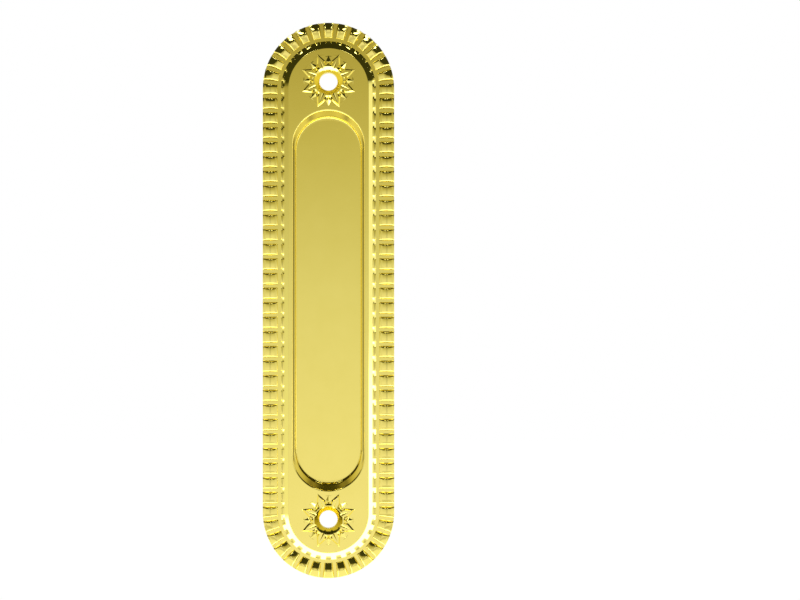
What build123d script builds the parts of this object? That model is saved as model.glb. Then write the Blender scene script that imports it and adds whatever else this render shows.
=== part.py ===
from build123d import *
from math import atan2, cos, degrees, radians, sin, tan
import os

# Flush pull for a sliding door: one brass casting with a bead border, two rosettes round the
# screw holes and a deep finger cup. Millimetres. The pull stands upright with its length along
# Z and its front towards -Y. The origin is the middle of the flat back that lies on the door.

# Plate
length = 152.0
width = 36.0
plate_thickness = 1.6

# Border, from the outline inwards: bead, flat band, small bead half sunk in the bevel, bevel, field
bead_width = 4.1
bead_height = 1.0
bead_edge_height = 0.45
bead_facets = 4
band_width = 0.9
small_bead_width = 1.7
small_bead_height = 0.5
small_bead_edge_height = 0.15
small_bead_facets = 3
bevel_width = 2.05
field_rise = 1.0

# Grooves that cut the border into blocks
groove_pitch = 4.0
grooves_per_end = 14
groove_floor = 0.95
groove_draft = 0.42

# Screw holes
hole_to_end = 16.0
hole_diameter = 5.0
countersink_diameter = 7.6
countersink_angle = 82.0

# Rosette round each screw hole: a collar, broad veined petals and a pointed spike between each two
petals = 8
rosette_rise = 0.45
collar_width = 0.75
collar_slope = 0.4
petal_reach = 7.75
petal_widest = 5.3
petal_half_width = 1.25
petal_bulge = 0.07
petal_bevel = 0.4
vein_reach = 6.2
vein_half_width = 0.75
vein_depth = 0.5
spike_reach = 6.85
spike_widest = 5.4
spike_half_width = 0.7
spike_crest = 5.0
spike_root = 4.4

# Finger cup
cup_to_field_edge = 1.2
cup_to_petals = 0.94
cup_depth = 9.0
cup_wall_lean = 0.2
cup_rim_bevel = 0.35
cup_floor_corner = 0.35
cup_shell = 1.5

# How far a cutter stands clear of the face that it opens, and a foot sinks into its seat
overrun = 0.5

# Derived places, in local axes: x across the pull, y along it, z out of the front
end_radius = width / 2
end_centre = (length - width) / 2
band_level = plate_thickness
field_level = band_level + field_rise
rosette_level = field_level + rosette_rise
bevel_inset = bead_width + band_width
field_inset = bevel_inset + bevel_width
hole_radius = hole_diameter / 2
hole_centre = length / 2 - hole_to_end
petal_step = 360 / petals
cup_half_width = end_radius - field_inset - cup_to_field_edge
cup_half_length = hole_centre - petal_reach * cos(radians(petal_step / 2)) - cup_to_petals
cup_end_centre = cup_half_length - cup_half_width
cup_floor_level = field_level - cup_depth
cup_floor_half_width = cup_half_width - cup_wall_lean


def across(inset, height):
    """Point of a border section: inset from the outline, height above the back."""
    return (end_radius - inset, height)


def run_round(sketch, half_straight):
    """A section, drawn with x across and y out of the front, carried round an oval."""
    face = Plane.XZ * sketch
    side = extrude(face, half_straight, both=True)
    end = revolve(Pos(0, half_straight, 0) * face, Axis((0, half_straight, 0), (0, 0, 1)), 180)
    half = side + end
    return half + half.rotate(Axis.Z, 180)


def raised_field():
    """Flat field with a straight bevel down to the band."""
    foot = band_level - overrun
    outline = Polyline(
        (0, foot),
        across(bevel_inset, foot),
        across(bevel_inset, band_level),
        across(field_inset, field_level),
        (0, field_level),
        close=True,
    )
    return run_round(make_face(outline), end_centre)


def cup_section(wall, mouth_level):
    """Half section of the cup, from its inside face or from a wall's thickness outside it."""
    floor = cup_floor_level - wall
    corner = (cup_floor_half_width + wall, floor)
    mouth = (cup_half_width + wall, mouth_level)
    outline = Polyline((0, floor), corner, mouth, (0, mouth_level), close=True)
    half = make_face(outline)
    floor_edge = half.vertices().sort_by_distance(Vertex(*corner))[0]
    return chamfer(floor_edge, cup_floor_corner + wall)


def on_cup_rim(edge):
    """True for the edges where the cup opens in the field."""
    place = edge.center()
    at_field_level = abs(place.Z - field_level) < cup_rim_bevel / 2
    inside_across = abs(place.X) < cup_half_width + cup_rim_bevel
    inside_along = abs(place.Y) < cup_half_length + cup_rim_bevel
    return at_field_level and inside_across and inside_along


def plate_with_cup():
    """Oval plate, raised field and the cup behind it, with the cup's rim bevelled."""
    plate = extrude(SlotOverall(length, width, rotation=90), plate_thickness)
    shell = run_round(cup_section(cup_shell, band_level), cup_end_centre)
    hollow = run_round(cup_section(0, field_level), cup_end_centre)
    body = plate + raised_field() + shell - hollow
    return chamfer(body.edges().filter_by(on_cup_rim), cup_rim_bevel)


def bead(inset, chord, height, edge_height, facets):
    """Bead on the band at an inset, before the grooves: upright edges and a crown cut in flat facets."""
    sagitta = height - edge_height
    radius = (chord**2 / 4 + sagitta**2) / (2 * sagitta)
    centre = inset + chord / 2
    centre_level = band_level + height - radius
    edge_angle = 2 * atan2(sagitta, chord / 2)
    angles = [edge_angle * (2 * step / facets - 1) for step in range(facets + 1)]
    arc = [across(centre + radius * sin(angle), centre_level + radius * cos(angle)) for angle in angles]
    feet = [across(inset + chord, band_level), across(inset, band_level)]
    return run_round(make_face(Polyline(*arc, *feet, close=True)), end_centre)


def groove():
    """Drafted cutter of one groove, from outside the outline inwards along -x."""
    depth = bead_height + overrun
    half_floor = groove_floor / 2
    half_top = half_floor + groove_draft * depth / bead_height
    profile = Polyline(
        (-half_floor, band_level),
        (half_floor, band_level),
        (half_top, band_level + depth),
        (-half_top, band_level + depth),
        close=True,
    )
    outside = Plane((end_radius + overrun, 0, 0), x_dir=(0, -1, 0), z_dir=(-1, 0, 0))
    return extrude(outside * make_face(profile), bevel_inset + small_bead_width + 2 * overrun)


def groove_places():
    """One groove halfway between each two blocks, with a block at the middle of each end."""
    steps = round(2 * end_centre / groove_pitch)
    pitch = 2 * end_centre / steps
    turn = 180 / grooves_per_end
    along = [Pos(0, (step + 0.5) * pitch - end_centre, 0) for step in range(steps)]
    end = Pos(0, end_centre, 0)
    turned = [end * Rot(0, 0, (step + 0.5) * turn) for step in range(grooves_per_end)]
    half = along + turned
    return half + [Rot(0, 0, 180) * place for place in half]


def border_blocks():
    """Both beads, cut into blocks all the way round."""
    cutter = groove()
    cutters = [place * cutter for place in groove_places()]
    outer = bead(0, bead_width, bead_height, bead_edge_height, bead_facets)
    inner = bead(
        bevel_inset, small_bead_width, small_bead_height, small_bead_edge_height, small_bead_facets
    )
    return (outer - cutters).solids() + (inner - cutters).solids()


def petal():
    """Broad petal along +x with bevelled edges and a flat top."""
    root_half_width = hole_radius * tan(radians(petal_step / 2))
    tip = (petal_reach, 0)
    roots = [(hole_radius, side * root_half_width) for side in (-1, 1)]
    shoulders = [(petal_widest, side * petal_half_width) for side in (-1, 1)]
    outline = [
        Line(roots[0], shoulders[0]),
        SagittaArc(shoulders[0], tip, -petal_bulge),
        SagittaArc(tip, shoulders[1], -petal_bulge),
        Line(shoulders[1], roots[1]),
        Line(roots[1], roots[0]),
    ]
    bevel_angle = degrees(atan2(petal_bevel, rosette_rise))
    return Pos(0, 0, field_level) * extrude(make_face(outline), rosette_rise, taper=bevel_angle)


def vein():
    """V cut along the middle of a petal, running out towards its tip."""
    spread = vein_half_width * (vein_depth + overrun) / vein_depth
    mouth = rosette_level + overrun
    section = Polyline(
        (spread, mouth), (0, rosette_level - vein_depth), (-spread, mouth), close=True
    )
    start = Plane((hole_radius, 0, 0), x_dir=(0, 1, 0), z_dir=(1, 0, 0))
    end = Vertex(vein_reach, 0, rosette_level)
    return loft([start * make_face(section), end], ruled=True)


def spike():
    """Pointed spike along +x: four facets that meet on a crest."""
    base = Polyline(
        (spike_root, 0),
        (spike_widest, spike_half_width),
        (spike_reach, 0),
        (spike_widest, -spike_half_width),
        close=True,
    )
    crest = Vertex(spike_crest, 0, rosette_level)
    return loft([Pos(0, 0, field_level) * make_face(base), crest], ruled=True)


def collar():
    """Low cone round the countersink that the petals grow from."""
    foot_radius = countersink_diameter / 2 + collar_width
    top_radius = foot_radius - collar_slope
    middle = field_level + rosette_rise / 2
    return Pos(0, 0, middle) * Cone(foot_radius, top_radius, rosette_rise)


def rosette():
    """Collar, petals and spikes round a screw hole."""
    spike_turns = [Rot(0, 0, step * petal_step) for step in range(petals)]
    petal_turns = [Rot(0, 0, (step + 0.5) * petal_step) for step in range(petals)]
    spikes = [turn * spike() for turn in spike_turns]
    broad_petals = [turn * petal() for turn in petal_turns]
    veins = [turn * vein() for turn in petal_turns]
    return collar() + broad_petals + spikes - veins


def screw_hole():
    """Through hole with its countersink, open above the rosette."""
    slope = tan(radians(countersink_angle / 2))
    sink_radius = countersink_diameter / 2
    throat_level = field_level - (sink_radius - hole_radius) / slope
    top_level = rosette_level + overrun
    profile = Polyline(
        (0, -overrun),
        (hole_radius, -overrun),
        (hole_radius, throat_level),
        (sink_radius + (top_level - field_level) * slope, top_level),
        (0, top_level),
        close=True,
    )
    return revolve(Plane.XZ * make_face(profile), Axis.Z)


def flush_pull():
    """The whole casting, turned upright with its front towards -Y."""
    ends = [Pos(0, hole_centre, 0), Pos(0, -hole_centre, 0)]
    body = plate_with_cup() + border_blocks()
    body = body + [end * rosette() for end in ends]
    body = body - [end * screw_hole() for end in ends]
    return Plane.XZ * body


os.makedirs("parts", exist_ok=True)
export_step(flush_pull(), "parts/flush_pull.step")
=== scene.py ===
from math import asin, atan2, cos, hypot, pi, radians, sin, tan

import bmesh
import bpy
from mathutils import Matrix, Vector
from mathutils.geometry import delaunay_2d_cdt


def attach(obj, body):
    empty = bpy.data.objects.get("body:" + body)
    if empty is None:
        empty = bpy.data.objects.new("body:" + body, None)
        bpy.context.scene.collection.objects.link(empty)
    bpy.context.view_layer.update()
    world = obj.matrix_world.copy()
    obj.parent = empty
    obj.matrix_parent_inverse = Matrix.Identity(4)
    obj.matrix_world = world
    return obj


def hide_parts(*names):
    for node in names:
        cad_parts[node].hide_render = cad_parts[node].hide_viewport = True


# A polished brass flush pull for a sliding door, seen straight from the front on white.
# The mesh is worked out in millimetres: x across the pull, y along it, z out of the front.

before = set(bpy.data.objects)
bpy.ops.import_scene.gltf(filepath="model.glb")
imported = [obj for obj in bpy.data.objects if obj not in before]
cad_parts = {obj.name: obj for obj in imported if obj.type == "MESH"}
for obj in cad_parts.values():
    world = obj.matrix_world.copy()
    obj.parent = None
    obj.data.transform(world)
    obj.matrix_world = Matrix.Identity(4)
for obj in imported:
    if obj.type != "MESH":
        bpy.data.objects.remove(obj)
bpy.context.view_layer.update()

# Plate and border
LENGTH = 152.0
WIDTH = 36.0
PLATE = 1.6
BEAD_WIDTH = 4.1
BEAD_HEIGHT = 1.0
BEAD_SLOPE = 0.404
BEAD_RIDGE_ROUND = 0.237
BEAD_EDGE_ROUND = 0.15
INNER_EDGE_STEP = 25
INNER_EDGE_SHARE = 0.75
BAND_WIDTH = 0.9
SMALL_LEVEL = 0.3
SMALL_FLAT = 0.45
SMALL_SLOPE = 0.306
SMALL_EDGE = 0.06
BEVEL_WIDTH = 2.05
FIELD_RISE = 1.0
FIELD_EDGE_ROUND = 0.06

# Grooves between the blocks of the border
PITCHES_PER_SIDE = 29
PITCHES_PER_END = 14
GROOVE_DRAFT = 0.06
FOOT_ROUND = 0.08
BROW_ROUND = 0.5
FOOT_SHARE = 0.3
LEAST_RISE = 0.08

# Half the floor of a groove, and the share of its wall that the rounded brow may take
BEAD_GROOVE = (0.52, 0.6)
SMALL_GROOVE = (0.75, 0.35)

# Screw holes and rosettes
HOLE_CENTRE = 60.0
HOLE_RADIUS = 2.5
SINK_RADIUS = 3.45
SINK_SLOPE = 1.072
PETALS = 8
ROSETTE_RISE = 0.45
COLLAR_FOOT = 4.55
COLLAR_SLOPE = 0.4
PETAL_REACH = 7.75
PETAL_WIDEST = 5.3
PETAL_HALF_WIDTH = 1.25
PETAL_BULGE = 0.22
PETAL_BEVEL = 0.36
VEIN_REACH = 6.2
VEIN_HALF_WIDTH = 0.5
VEIN_DEPTH = 0.36
SPIKE_REACH = 6.85
SPIKE_WIDEST = 5.4
SPIKE_HALF_WIDTH = 0.7
SPIKE_CREST = 5.0
SPIKE_ROOT = 4.4

# Finger cup
CUP_HALF_WIDTH = 9.75
CUP_END_CENTRE = 42.15
CUP_DEPTH = 9.0
CUP_LEAN = 0.6
CUP_RIM_ROUND = 0.35
CUP_FLOOR_ROUND = 0.35
CUP_SHELL = 1.5
CUP_CORNER = 1.9
RIM_STRIP = 0.15
FLOOR_STRIP = 0.3
COVE_REACH = 0.3
COVE_MIDDLE = 0.09

# Places that follow from these
END_RADIUS = WIDTH / 2
END_CENTRE = (LENGTH - WIDTH) / 2
BEVEL_INSET = BEAD_WIDTH + BAND_WIDTH
FIELD_INSET = BEVEL_INSET + BEVEL_WIDTH
FIELD_LEVEL = PLATE + FIELD_RISE
CUP_FLOOR = FIELD_LEVEL - CUP_DEPTH
PETAL_STEP = 2 * pi / PETALS

# How finely the round forms are cut
BEAD_OFFSETS = (0.06, 0.18, 0.32, 0.5, 0.75, 1.1, 1.5, 1.9)
SECTOR_SPOKES = (3, 2, 2, 3, 2)
ROSETTE_ROWS = 37
ROSETTE_RIM_ROWS = 8
ROSETTE_EVEN = 6.8
ROSETTE_INNER = 3.2
RIM_CLEARANCE = 0.15
RIM_SWING = 0.425
SPOKE_GAP = radians(0.15)
CUP_ARC_STEPS = 48
CUP_SIDE_STEPS = 24

# Finishes of the brass: polished in front, left as cast behind
POLISHED = 0
AS_CAST = 1
BRASS_DARK = (0.92, 0.80, 0.193)
BRASS_LIGHT = (0.94, 0.82, 0.207)
NOISE_SPAN = (0.3, 0.7)
MOTTLE_SCALE = 160
POLISH_SCALE = 420

# Edges that fold by more than this stay crisp
SHARP_EDGE = radians(28)

# Light of the studio by elevation in degrees: in front of the pull, to its left, right and back.
# Each row is an elevation and a colour. It is white below, with a grey band in front, and dark above,
# with a pale band high up behind.
FRONT_LIGHT = (
    (-90, 1.1, 1.1, 1.1),
    (-30, 1.05, 1.05, 1.0),
    (-22, 0.65, 0.62, 0.55),
    (-18, 0.65, 0.62, 0.55),
    (-12, 1.0, 0.97, 1.03),
    (0, 0.8, 0.78, 0.75),
    (8, 0.58, 0.54, 0.35),
    (13, 0.42, 0.37, 0.18),
    (15, 0.05, 0.05, 0.02),
    (90, 0.03, 0.03, 0.01),
)
LEFT_LIGHT = (
    (-90, 1.05, 1.05, 1.05),
    (-12, 1.05, 1.05, 1.05),
    (0, 0.8, 0.8, 0.75),
    (10, 0.45, 0.4, 0.2),
    (13, 0.3, 0.27, 0.12),
    (16, 0.05, 0.05, 0.01),
    (90, 0.03, 0.03, 0.01),
)
RIGHT_LIGHT = (
    (-90, 1.1, 1.1, 1.1),
    (0, 1.1, 1.1, 1.3),
    (10, 1.05, 1.05, 1.1),
    (15, 0.95, 0.95, 0.9),
    (19, 0.04, 0.04, 0.01),
    (90, 0.03, 0.03, 0.01),
)
BACK_LIGHT = (
    (-90, 1.0, 1.0, 1.0),
    (20, 1.0, 1.0, 1.0),
    (28, 0.03, 0.03, 0.02),
    (58, 0.03, 0.03, 0.02),
    (63, 0.85, 0.83, 0.8),
    (77, 0.85, 0.83, 0.8),
    (81, 0.02, 0.02, 0.01),
    (90, 0.02, 0.02, 0.01),
)

# The tent is so far away that only directions count. Where its light changes is given in parts of
# a unit direction: x to the right, y to the back, z up.
TENT_RADIUS = 50.0
SIDE_BLEND = (0.70, 0.78)
EDGE_BLEND = (0.88, 0.95)
BACK_BLEND = (0.1, 0.3)

# The side light spreads inwards below, by this slope of z and this start
SIDE_SPREAD = (-0.6, -0.12)

# Dark screens on both sides of the camera, through stops of distance and share
SCREEN_ACROSS = ((0.11, 0), (0.13, 1), (0.2, 1), (0.23, 0))
SCREEN_UPRIGHT = ((0.2, 1), (0.25, 0))
SCREEN_SHADE = (0.45, 0.45, 0.5, 1)

# Ring of light: brightness, slope and place of the ring, its width, and where it ends above
RING_RADIANCE = 4.5
RING_SLOPE = 0.19
RING_PLACE = 0.612
RING_WIDTH = ((0.035, 1), (0.05, 0))
RING_SIDE_TILT = -0.125
RING_TOP = (-0.11, -0.21)


def crown(offset):
    """Height of the border's bead above the band, by the distance from its ridge."""
    fall = hypot(BEAD_RIDGE_ROUND, BEAD_SLOPE * offset) - BEAD_RIDGE_ROUND
    return BEAD_HEIGHT - fall


def ground(inset):
    """Height of band, bevel and field above the band, with the field's edge a little round."""
    slope = FIELD_RISE / BEVEL_WIDTH
    to_field = FIELD_INSET + FIELD_EDGE_ROUND - inset
    if inset <= BEVEL_INSET:
        return 0.0
    if to_field <= 0:
        return FIELD_RISE
    if to_field < 2 * FIELD_EDGE_ROUND:
        return FIELD_RISE - slope * to_field**2 / (4 * FIELD_EDGE_ROUND)
    return slope * (inset - BEVEL_INSET)


def border_sections():
    """Rows of the border, outline to field: inset, ground, rise of the blocks, groove."""
    ridge = BEAD_WIDTH / 2
    edge = crown(ridge - BEAD_EDGE_ROUND)
    bead = [(0.0, 0.0)]
    for step in range(5):
        turn = pi / 2 * step / 4
        bead.append((BEAD_EDGE_ROUND * (1 - cos(turn)), edge - BEAD_EDGE_ROUND * (1 - sin(turn))))
    bead += [(ridge - offset, crown(offset)) for offset in BEAD_OFFSETS[-2::-1]]
    bead += [(ridge + offset, crown(offset)) for offset in BEAD_OFFSETS]
    for step in (1, 2, 3):
        turn = radians(INNER_EDGE_STEP * step)
        drop = BEAD_EDGE_ROUND * (1 - cos(turn))
        reach = BEAD_EDGE_ROUND * (1 - INNER_EDGE_SHARE * sin(turn))
        bead.append((BEAD_WIDTH - reach, edge - drop))
    bead += [(BEAD_WIDTH, 0.0)]
    bead += [(BEAD_WIDTH + BAND_WIDTH * part, 0.0) for part in (0.2, 0.8)]
    bevel_slope = FIELD_RISE / BEVEL_WIDTH
    sunk = (SMALL_LEVEL - bevel_slope * SMALL_FLAT) / (bevel_slope - SMALL_SLOPE)
    small = [(0.0, 0.0)]
    for step in range(4):
        turn = pi / 2 * step / 3
        small.append((SMALL_EDGE * (1 - cos(turn)), SMALL_LEVEL - SMALL_EDGE * (1 - sin(turn))))
    small.append((SMALL_FLAT - SMALL_EDGE, SMALL_LEVEL))
    small.append((SMALL_FLAT + SMALL_EDGE, SMALL_LEVEL + SMALL_EDGE * SMALL_SLOPE))
    small.append((SMALL_FLAT + sunk, SMALL_LEVEL + sunk * SMALL_SLOPE))
    rows = [(inset, 0.0, height, BEAD_GROOVE) for inset, height in bead]
    for offset, height in small:
        inset = BEVEL_INSET + offset
        base = ground(inset)
        rows.append((inset, base, max(0.0, height - base), SMALL_GROOVE))
    sunk += BEVEL_INSET + SMALL_FLAT
    bevel_end = FIELD_INSET - FIELD_EDGE_ROUND
    flats = [sunk + (bevel_end - sunk) * part for part in (0.15, 0.85)]
    flats += [FIELD_INSET + FIELD_EDGE_ROUND * part for part in (-1, -0.5, 0, 0.5, 1, 2)]
    return rows + [(inset, ground(inset), 0.0, SMALL_GROOVE) for inset in flats]


def flank(rise, groove):
    """Half a groove as (along, height): floor, rounded foot, drafted wall, rounded brow."""
    half_floor, brow_share = groove
    full = max(rise, LEAST_RISE)
    slope = atan2(BEAD_HEIGHT, GROOVE_DRAFT)
    wall = full / sin(slope)
    foot = min(FOOT_ROUND * tan(slope / 2), FOOT_SHARE * wall)
    brow = min(BROW_ROUND * tan(slope / 2), brow_share * wall)
    foot_radius = foot / tan(slope / 2)
    brow_radius = brow / tan(slope / 2)
    brow_end = half_floor + full * GROOVE_DRAFT / BEAD_HEIGHT + brow
    points = [(0.0, 0.0)]
    for part in (0, 1):
        turn = slope * part
        points.append((half_floor - foot + foot_radius * sin(turn), foot_radius * (1 - cos(turn))))
    for part in (1, 0.75, 0.5, 0.25, 0):
        turn = slope * part
        points.append((brow_end - brow_radius * sin(turn), full - brow_radius * (1 - cos(turn))))
    return [(along, height * rise / full) for along, height in points]


def border_row(inset, base, rise, groove):
    """One closed row of the border, counter-clockwise from the foot of the right side."""
    radius = END_RADIUS - inset
    level = PLATE + base
    half = flank(rise, groove)
    side_half = END_CENTRE / PITCHES_PER_SIDE
    turn_half = pi / PITCHES_PER_END / 2
    side_steps = half + [(side_half, rise)]
    turn_steps = [(asin(along / radius), height) for along, height in half]
    turn_steps.append((turn_half, rise))
    side_walk = [(-along, height) for along, height in side_steps[:0:-1]] + side_steps[:-1]
    turn_walk = [(-along, height) for along, height in turn_steps[:0:-1]] + turn_steps[:-1]
    quarter = []
    for step in range(PITCHES_PER_SIDE):
        middle = (2 * step + 1) * side_half - END_CENTRE
        quarter += [(radius, middle + along, level + height) for along, height in side_walk]
    for step in range(PITCHES_PER_END):
        middle = (2 * step + 1) * turn_half
        for along, height in turn_walk:
            turn = middle + along
            quarter.append((radius * cos(turn), END_CENTRE + radius * sin(turn), level + height))
    return quarter + [(-x, -y, z) for x, y, z in quarter]


def oval_row(radius, level, half_straight):
    """One closed row of the cup, counter-clockwise from the foot of the right side."""
    half = []
    for step in range(CUP_SIDE_STEPS):
        half.append((radius, half_straight * (2 * step / CUP_SIDE_STEPS - 1), level))
    for step in range(CUP_ARC_STEPS):
        turn = pi * step / CUP_ARC_STEPS
        half.append((radius * cos(turn), half_straight + radius * sin(turn), level))
    return half + [(-x, -y, z) for x, y, z in half]


def arc(centre, radius, first, last, steps):
    """Points of an arc in a section, angles in degrees from the x axis."""
    points = []
    for step in range(steps + 1):
        turn = radians(first + (last - first) * step / steps)
        points.append((centre[0] + radius * cos(turn), centre[1] + radius * sin(turn)))
    return points


def cup_inside():
    """Section of the cup's inside from the field over the rim to the floor."""
    lean = atan2(CUP_LEAN, CUP_DEPTH)
    lean_degrees = lean * 180 / pi
    rim_reach = CUP_RIM_ROUND * tan((pi / 2 - lean) / 2)
    rim = (CUP_HALF_WIDTH + rim_reach, FIELD_LEVEL - CUP_RIM_ROUND)
    floor_reach = CUP_FLOOR_ROUND * tan((pi / 2 - lean) / 2)
    corner = (CUP_HALF_WIDTH - CUP_LEAN - floor_reach, CUP_FLOOR + CUP_FLOOR_ROUND)
    points = [(rim[0] + RIM_STRIP, FIELD_LEVEL)]
    points += arc(rim, CUP_RIM_ROUND, 90, 180 - lean_degrees, 6)
    points += arc(corner, CUP_FLOOR_ROUND, -lean_degrees, -90, 6)
    points.append((corner[0] - FLOOR_STRIP, CUP_FLOOR))
    return points


def cup_outside():
    """Section of the cup's outside from the back of the plate to its own back."""
    lean = atan2(CUP_LEAN, CUP_DEPTH + CUP_SHELL)
    foot_x = CUP_HALF_WIDTH + CUP_SHELL - PLATE * tan(lean)
    back = CUP_FLOOR - CUP_SHELL
    corner_x = foot_x + back * tan(lean)
    centre = (corner_x - CUP_CORNER, back + CUP_CORNER)
    points = [(foot_x + COVE_REACH, 0.0), (foot_x + COVE_MIDDLE, -COVE_MIDDLE), (foot_x, -COVE_REACH)]
    points += arc(centre, CUP_CORNER, 0, -90, 10)
    points.append((centre[0] - FLOOR_STRIP, back))
    return points


def petal_foot(along):
    """Half the width of a broad petal at its foot."""
    if along < PETAL_WIDEST:
        root = HOLE_RADIUS * tan(PETAL_STEP / 2)
        part = (along - HOLE_RADIUS) / (PETAL_WIDEST - HOLE_RADIUS)
        return root + (PETAL_HALF_WIDTH - root) * part
    part = (along - PETAL_WIDEST) / (PETAL_REACH - PETAL_WIDEST)
    return PETAL_HALF_WIDTH * (1 - part) + PETAL_BULGE * part * (1 - part)


def petal_top(along):
    """Half the width of the flat top of a petal, inside its bevels."""
    lean = 1.0 if along < PETAL_WIDEST else hypot(1, PETAL_HALF_WIDTH / (PETAL_REACH - PETAL_WIDEST))
    return petal_foot(along) - PETAL_BEVEL * lean


def vein_edge(along):
    """Half the width of the V down the middle of a petal."""
    return VEIN_HALF_WIDTH * (VEIN_REACH - along) / (VEIN_REACH - HOLE_RADIUS)


def spike_foot(along):
    """Half the width of a spike at its foot."""
    inner = (along - SPIKE_ROOT) / (SPIKE_WIDEST - SPIKE_ROOT)
    outer = (SPIKE_REACH - along) / (SPIKE_REACH - SPIKE_WIDEST)
    return SPIKE_HALF_WIDTH * min(inner, outer)


def spike_height(along, across):
    """Height of a spike of four facets that meet on a crest."""
    slant = abs(across) / SPIKE_HALF_WIDTH
    outer = (SPIKE_REACH - along - slant * (SPIKE_REACH - SPIKE_WIDEST)) / (SPIKE_REACH - SPIKE_CREST)
    inner = (along - SPIKE_ROOT - slant * (SPIKE_WIDEST - SPIKE_ROOT)) / (SPIKE_CREST - SPIKE_ROOT)
    return ROSETTE_RISE * min(outer, inner)


def rosette_height(radius, turn):
    """Height above the field round a screw hole, with the countersink cut through."""
    spike_turn = turn - PETAL_STEP * round(turn / PETAL_STEP)
    petal_turn = PETAL_STEP / 2 - abs(spike_turn)
    along = radius * cos(petal_turn)
    across = radius * sin(petal_turn)
    foot = petal_foot(along)
    petal = (foot - across) / (foot - petal_top(along))
    collar = (COLLAR_FOOT - radius) / COLLAR_SLOPE
    relief = ROSETTE_RISE * min(1.0, max(petal, collar))
    relief = min(relief, ROSETTE_RISE - (vein_edge(along) - across) * VEIN_DEPTH / VEIN_HALF_WIDTH)
    spike = spike_height(radius * cos(spike_turn), radius * sin(spike_turn))
    return min(max(0.0, relief, spike), (radius - SINK_RADIUS) * SINK_SLOPE)


def meeting_turn(radius, edge):
    """Turn from the middle of a petal or spike to where a circle meets one of its edges."""
    turn = 0.0
    for _ in range(6):
        turn = asin(max(0.0, edge(radius * cos(turn))) / radius)
    return turn


def sector_turns(radius):
    """Turns from the middle of a spike to the middle of a petal, with a spoke on every edge."""
    end = PETAL_STEP / 2
    breaks = [0.0, meeting_turn(radius, spike_foot)]
    breaks += [end - meeting_turn(radius, edge) for edge in (petal_foot, petal_top, vein_edge)]
    breaks.append(end)
    turns = []
    for first, last, count in zip(breaks, breaks[1:], SECTOR_SPOKES):
        turns += [first + (last - first) * step / count for step in range(count)]
    turns.append(end)
    for place in range(1, len(turns)):
        turns[place] = max(turns[place], turns[place - 1] + SPOKE_GAP)
    turns[-1] = end
    for place in range(len(turns) - 2, 0, -1):
        turns[place] = min(turns[place], turns[place + 1] - SPOKE_GAP)
    return turns


def spoke_turns(radius):
    """Turns of the spokes all the way round a rosette."""
    half = sector_turns(radius)
    sector = half + [PETAL_STEP - turn for turn in half[-2:0:-1]]
    return [PETAL_STEP * step + turn for step in range(PETALS) for turn in sector]


def rosette_rows(centre):
    """Rows round a screw hole, from the flat field down the countersink to its throat."""
    rows = []
    rim_reach = PETAL_REACH + RIM_CLEARANCE
    for step in range(ROSETTE_RIM_ROWS):
        part = 1 - step / ROSETTE_RIM_ROWS
        row = []
        for turn in spoke_turns(ROSETTE_EVEN + (rim_reach - ROSETTE_EVEN) * part):
            rim = rim_reach - RIM_SWING * (1 + cos(turn * PETALS))
            radius = ROSETTE_EVEN + (rim - ROSETTE_EVEN) * part
            row.append((radius, turn, FIELD_LEVEL + rosette_height(radius, turn)))
        rows.append(row)
    pitch = (ROSETTE_EVEN - ROSETTE_INNER) / ROSETTE_ROWS
    radii = [ROSETTE_INNER + pitch * step for step in range(ROSETTE_ROWS + 1)]
    radii += [COLLAR_FOOT, SINK_RADIUS + ROSETTE_RISE / SINK_SLOPE]
    for radius in sorted(radii, reverse=True):
        turns = spoke_turns(radius)
        rows.append([(radius, turn, FIELD_LEVEL + rosette_height(radius, turn)) for turn in turns])
    throat = FIELD_LEVEL - (SINK_RADIUS - HOLE_RADIUS) * SINK_SLOPE
    rows.append([(HOLE_RADIUS, turn, throat) for turn in spoke_turns(HOLE_RADIUS)])
    return [
        [(radius * cos(turn), centre + radius * sin(turn), level) for radius, turn, level in row]
        for row in rows
    ]


def join_rows(mesh, upper, lower, finish):
    """Faces between two closed rows of vertices."""
    for place in range(len(upper)):
        before = place - 1
        face = mesh.faces.new((upper[before], upper[place], lower[place], lower[before]))
        face.material_index = finish


def add_rows(mesh, rows, finish=POLISHED):
    """Closed rows of points joined by faces; gives back the rows of vertices."""
    lines = []
    for row in rows:
        lines.append([mesh.verts.new((x / 1000, -z / 1000, y / 1000)) for x, y, z in row])
    for upper, lower in zip(lines, lines[1:]):
        join_rows(mesh, upper, lower, finish)
    return lines


def bore(mesh, throat):
    """Drilled wall of a screw hole from the countersink to the back; gives back its last row."""
    back = [mesh.verts.new((corner.co.x, 0, corner.co.z)) for corner in throat]
    join_rows(mesh, throat, back, AS_CAST)
    return back


def in_loop(point, loop):
    """True for a point inside a closed loop."""
    inside = False
    for first, last in zip(loop, loop[1:] + loop[:1]):
        if (first.y > point.y) != (last.y > point.y):
            crossing = first.x + (last.x - first.x) * (point.y - first.y) / (last.y - first.y)
            inside = inside != (point.x < crossing)
    return inside


def fill_flat(mesh, loops, finish=POLISHED):
    """Flat face between an outer loop and the holes in it."""
    corners = [corner for loop in loops for corner in loop]
    flat = [Vector((corner.co.x * 1000, corner.co.z * 1000)) for corner in corners]
    edges = []
    start = 0
    for loop in loops:
        count = len(loop)
        edges += [(start + place, start + (place + 1) % count) for place in range(count)]
        start += count
    holes = []
    start = len(loops[0])
    for loop in loops[1:]:
        holes.append((start, start + len(loop)))
        start += len(loop)
    inside_only = 1
    tolerance = 1e-7
    _, _, faces, sources, _, _ = delaunay_2d_cdt(flat, edges, [], inside_only, tolerance)
    for face in faces:
        places = [sources[corner][0] for corner in face]
        middle = sum((flat[place] for place in places), Vector((0, 0))) / 3
        if not any(in_loop(middle, flat[first:last]) for first, last in holes):
            filling = mesh.faces.new([corners[place] for place in places])
            filling.material_index = finish


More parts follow.
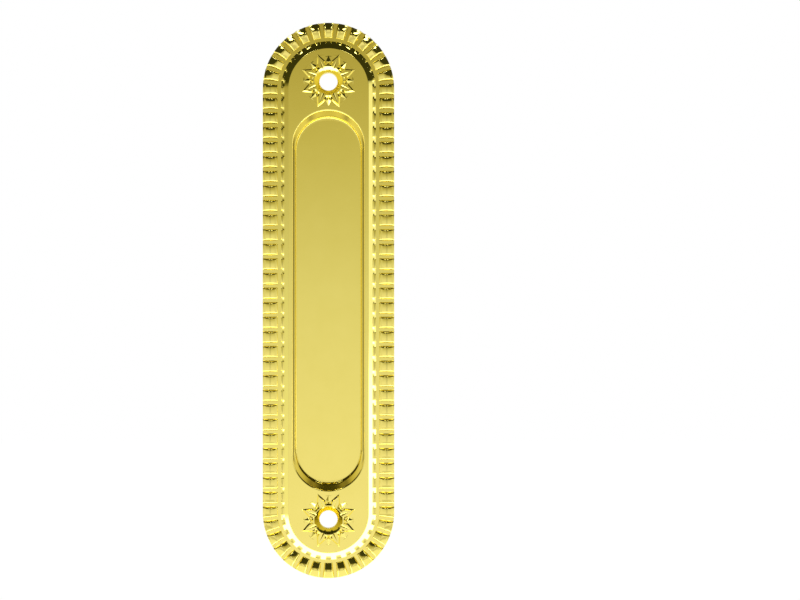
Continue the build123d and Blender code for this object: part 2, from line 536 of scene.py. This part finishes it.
def flush_pull():
    """The whole casting as one closed mesh."""
    mesh = bmesh.new()
    outline = [(x, y, 0.0) for x, y, z in border_row(0.0, 0.0, 0.0, BEAD_GROOVE)]
    border = add_rows(mesh, [outline] + [border_row(*section) for section in border_sections()])
    inside = add_rows(mesh, [oval_row(x, z, CUP_END_CENTRE) for x, z in cup_inside()])
    outside = add_rows(mesh, [oval_row(x, z, CUP_END_CENTRE) for x, z in cup_outside()], AS_CAST)
    upper = add_rows(mesh, rosette_rows(HOLE_CENTRE))
    lower = add_rows(mesh, rosette_rows(-HOLE_CENTRE))
    fill_flat(mesh, [border[-1], inside[0], upper[0], lower[0]])
    bores = [bore(mesh, upper[-1]), bore(mesh, lower[-1])]
    fill_flat(mesh, [border[0], outside[0], *bores], AS_CAST)
    fill_flat(mesh, [inside[-1]])
    fill_flat(mesh, [outside[-1]], AS_CAST)
    bmesh.ops.recalc_face_normals(mesh, faces=mesh.faces)
    for face in mesh.faces:
        face.smooth = True
    for edge in mesh.edges:
        edge.smooth = edge.calc_face_angle(0) < SHARP_EDGE
    data = bpy.data.meshes.new("flush_pull_brass")
    mesh.to_mesh(data)
    mesh.free()
    piece = bpy.data.objects.new("flush_pull_brass", data)
    bpy.context.scene.collection.objects.link(piece)
    weighted = piece.modifiers.new("weighted_normals", "WEIGHTED_NORMAL")
    weighted.mode = "FACE_AREA"
    weighted.keep_sharp = True
    return piece


def ramp(nodes, stops):
    """Colour ramp through stops, each a place from 0 to 1 and a colour."""
    node = nodes.new("ShaderNodeValToRGB")
    while len(node.color_ramp.elements) > 1:
        node.color_ramp.elements.remove(node.color_ramp.elements[0])
    node.color_ramp.elements[0].position = stops[0][0]
    for place, _ in stops[1:]:
        node.color_ramp.elements.new(place)
    for element, (_, colour) in zip(node.color_ramp.elements, stops):
        element.color = (*colour, 1)
    return node


def noise(nodes, links, place, scale, detail):
    """Noise in the metal, scale in waves a metre."""
    node = nodes.new("ShaderNodeTexNoise")
    node.inputs["Scale"].default_value = scale
    node.inputs["Detail"].default_value = detail
    links.new(place.outputs["Object"], node.inputs["Vector"])
    return node.outputs["Fac"]


def brass(name, smooth, rough, grain_scale, grain_depth):
    """Lemon-gold brass with a faint mottle, uneven polish and a fine grain."""
    material = bpy.data.materials.new(name)
    material.use_nodes = True
    nodes = material.node_tree.nodes
    links = material.node_tree.links
    shader = nodes["Principled BSDF"]
    shader.inputs["Metallic"].default_value = 1.0
    place = nodes.new("ShaderNodeTexCoord")
    mottle = ramp(nodes, list(zip(NOISE_SPAN, (BRASS_DARK, BRASS_LIGHT))))
    links.new(noise(nodes, links, place, MOTTLE_SCALE, detail=4), mottle.inputs["Fac"])
    links.new(mottle.outputs["Color"], shader.inputs["Base Color"])
    polish = nodes.new("ShaderNodeMapRange")
    polish.inputs["From Min"].default_value = NOISE_SPAN[0]
    polish.inputs["From Max"].default_value = NOISE_SPAN[1]
    polish.inputs["To Min"].default_value = smooth
    polish.inputs["To Max"].default_value = rough
    links.new(noise(nodes, links, place, POLISH_SCALE, detail=5), polish.inputs["Value"])
    links.new(polish.outputs["Result"], shader.inputs["Roughness"])
    grain = nodes.new("ShaderNodeBump")
    grain.inputs["Distance"].default_value = grain_depth
    links.new(noise(nodes, links, place, grain_scale, detail=2), grain.inputs["Height"])
    links.new(grain.outputs["Normal"], shader.inputs["Normal"])
    return material


def by_elevation(nodes, links, height, levels):
    """Light that depends on the elevation alone."""
    light = ramp(nodes, [((sin(radians(angle)) + 1) / 2, colour) for angle, *colour in levels])
    links.new(height.outputs["Result"], light.inputs["Fac"])
    return light.outputs["Color"]


def calc(nodes, links, operation, *values):
    """Math node on numbers and sockets."""
    node = nodes.new("ShaderNodeMath")
    node.operation = operation
    for socket, value in zip(node.inputs, values):
        if isinstance(value, (int, float)):
            socket.default_value = value
        else:
            links.new(value, socket)
    return node.outputs[0]


def blend(nodes, links, value, span, low, high):
    """Change from one colour to another while a value goes through a span."""
    part = nodes.new("ShaderNodeMapRange")
    part.interpolation_type = "SMOOTHSTEP"
    part.inputs["From Min"].default_value = span[0]
    part.inputs["From Max"].default_value = span[1]
    links.new(value, part.inputs["Value"])
    mix = nodes.new("ShaderNodeMix")
    mix.data_type = "RGBA"
    links.new(part.outputs["Result"], mix.inputs["Factor"])
    links.new(low, mix.inputs["A"])
    links.new(high, mix.inputs["B"])
    return mix.outputs["Result"]


def window(nodes, links, value, stops):
    """Share of a screen or ring by the size of a value, through stops of size and share."""
    share = ramp(nodes, [(edge, (part, part, part)) for edge, part in stops])
    links.new(calc(nodes, links, "ABSOLUTE", value), share.inputs["Fac"])
    return share.outputs["Color"]


def shaded(nodes, links, split, light):
    """Two upright dark screens, one on each side of the camera, that draw the sides of the cup."""
    across = window(nodes, links, split.outputs["X"], SCREEN_ACROSS)
    upright = window(nodes, links, split.outputs["Z"], SCREEN_UPRIGHT)
    dim = nodes.new("ShaderNodeMix")
    dim.data_type = "RGBA"
    dim.blend_type = "MULTIPLY"
    dim.inputs["B"].default_value = SCREEN_SHADE
    links.new(calc(nodes, links, "MULTIPLY", across, upright), dim.inputs["Factor"])
    links.new(light, dim.inputs["A"])
    return dim.outputs["Result"]


def ring_light(nodes, links, split, light):
    """Narrow ring of light round and below the camera that whitens the bevel of the field."""
    drop = calc(nodes, links, "MULTIPLY_ADD", split.outputs["Z"], RING_SLOPE, RING_PLACE)
    share = window(nodes, links, calc(nodes, links, "ADD", split.outputs["Y"], drop), RING_WIDTH)
    white = nodes.new("ShaderNodeRGB")
    white.outputs[0].default_value = (RING_RADIANCE, RING_RADIANCE, RING_RADIANCE, 1)
    lit = blend(nodes, links, share, (0, 1), light, white.outputs[0])
    side = calc(nodes, links, "MULTIPLY_ADD", split.outputs["X"], RING_SIDE_TILT, split.outputs["Z"])
    return blend(nodes, links, side, RING_TOP, light, lit)


def white_world():
    """Plain white all round."""
    world = bpy.data.worlds.new("studio")
    bpy.context.scene.world = world
    world.use_nodes = True
    shade = world.node_tree.nodes["Background"]
    shade.inputs["Color"].default_value = (1, 1, 1, 1)
    shade.inputs["Strength"].default_value = 1.0


def light_tent():
    """Tent far round the pull that lights it, unseen by the camera: bright below, dark above."""
    shell = bmesh.new()
    bmesh.ops.create_icosphere(shell, subdivisions=4, radius=TENT_RADIUS)
    data = bpy.data.meshes.new("light_tent")
    shell.to_mesh(data)
    shell.free()
    tent = bpy.data.objects.new("light_tent", data)
    tent.visible_camera = False
    bpy.context.scene.collection.objects.link(tent)
    material = bpy.data.materials.new("tent_light")
    data.materials.append(material)
    material.use_nodes = True
    nodes = material.node_tree.nodes
    links = material.node_tree.links
    nodes.clear()
    shade = nodes.new("ShaderNodeEmission")
    surface = nodes.new("ShaderNodeOutputMaterial")
    links.new(shade.outputs["Emission"], surface.inputs["Surface"])
    place = nodes.new("ShaderNodeNewGeometry")
    direction = nodes.new("ShaderNodeVectorMath")
    direction.operation = "NORMALIZE"
    links.new(place.outputs["Position"], direction.inputs[0])
    split = nodes.new("ShaderNodeSeparateXYZ")
    links.new(direction.outputs["Vector"], split.inputs[0])
    height = nodes.new("ShaderNodeMapRange")
    height.inputs["From Min"].default_value = -1
    links.new(split.outputs["Z"], height.inputs["Value"])
    front = by_elevation(nodes, links, height, FRONT_LIGHT)
    left = by_elevation(nodes, links, height, LEFT_LIGHT)
    right = by_elevation(nodes, links, height, RIGHT_LIGHT)
    back = by_elevation(nodes, links, height, BACK_LIGHT)
    down = calc(nodes, links, "MULTIPLY_ADD", split.outputs["Z"], *SIDE_SPREAD)
    spread = calc(nodes, links, "MAXIMUM", down, 0.0)
    to_right = calc(nodes, links, "ADD", split.outputs["X"], spread)
    to_left = calc(nodes, links, "SUBTRACT", spread, split.outputs["X"])
    sideways = calc(nodes, links, "ABSOLUTE", split.outputs["X"])
    light = shaded(nodes, links, split, front)
    light = blend(nodes, links, to_right, SIDE_BLEND, light, right)
    light = blend(nodes, links, to_left, SIDE_BLEND, light, left)
    light = blend(nodes, links, sideways, EDGE_BLEND, light, back)
    light = blend(nodes, links, split.outputs["Y"], BACK_BLEND, light, back)
    links.new(ring_light(nodes, links, split, light), shade.inputs["Color"])


def strip_light(name, first, last, width, radiance):
    """Lamp that runs from one point to another and faces the pull."""
    first = Vector(first)
    last = Vector(last)
    run = last - first
    middle = (first + last) / 2
    lamp = bpy.data.lights.new(name, "AREA")
    lamp.shape = "RECTANGLE"
    lamp.size = width
    lamp.size_y = run.length
    lamp.energy = radiance * pi * width * run.length
    strip = bpy.data.objects.new(name, lamp)
    back = middle.normalized()
    along = (run - back * run.dot(back)).normalized()
    side = along.cross(back)
    turn = Matrix((side, along, back)).transposed()
    strip.matrix_world = Matrix.Translation(middle) @ turn.to_4x4()
    strip.visible_camera = False
    bpy.context.scene.collection.objects.link(strip)


def studio_floor():
    """Plain white floor under the pull."""
    data = bpy.data.meshes.new("floor")
    reach = 4.0
    front = -0.12
    level = -0.5
    corners = [(-reach, front, level), (reach, front, level), (reach, reach, level), (-reach, reach, level)]
    data.from_pydata(corners, [], [(0, 1, 2, 3)])
    floor = bpy.data.objects.new("floor", data)
    bpy.context.scene.collection.objects.link(floor)
    material = bpy.data.materials.new("floor_white")
    material.use_nodes = True
    shader = material.node_tree.nodes["Principled BSDF"]
    shader.inputs["Base Color"].default_value = (0.1, 0.1, 0.1, 1)
    shader.inputs["Roughness"].default_value = 1.0
    shader.inputs["Specular IOR Level"].default_value = 0.0
    shader.inputs["Emission Color"].default_value = (1, 1, 1, 1)
    shader.inputs["Emission Strength"].default_value = 0.99
    data.materials.append(material)


def camera():
    """Long lens straight in front, level with the middle of the pull."""
    lens = bpy.data.cameras.new("camera")
    lens.sensor_width = 36
    lens.lens = 55.2
    lens.shift_x = 0.0894
    lens.shift_y = 0.0006
    viewer = bpy.data.objects.new("camera", lens)
    viewer.location = (0, -0.3376, 0)
    viewer.rotation_euler = (pi / 2, 0, 0)
    bpy.context.scene.collection.objects.link(viewer)
    bpy.context.scene.camera = viewer


piece = flush_pull()
polished = brass("polished_brass_look", smooth=0.045, rough=0.075, grain_scale=2600, grain_depth=1.2e-6)
as_cast = brass("cast_brass_look", smooth=0.34, rough=0.5, grain_scale=1500, grain_depth=2.5e-5)
piece.data.materials.append(polished)
piece.data.materials.append(as_cast)
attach(piece, "root")
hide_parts("flush_pull")

white_world()
light_tent()
studio_floor()
strip_light("strip_right", (0.17, -0.72, 0.69), (0.385, -0.60, 0.70), width=0.12, radiance=5.5)
strip_light("strip_left", (-0.17, -0.72, 0.69), (-0.385, -0.60, 0.70), width=0.12, radiance=5.5)
strip_light("low_light", (-0.7, 0.03, -0.49), (0.7, 0.03, -0.49), width=0.36, radiance=3.5)
camera()

bpy.context.scene.view_settings.view_transform = "Standard"
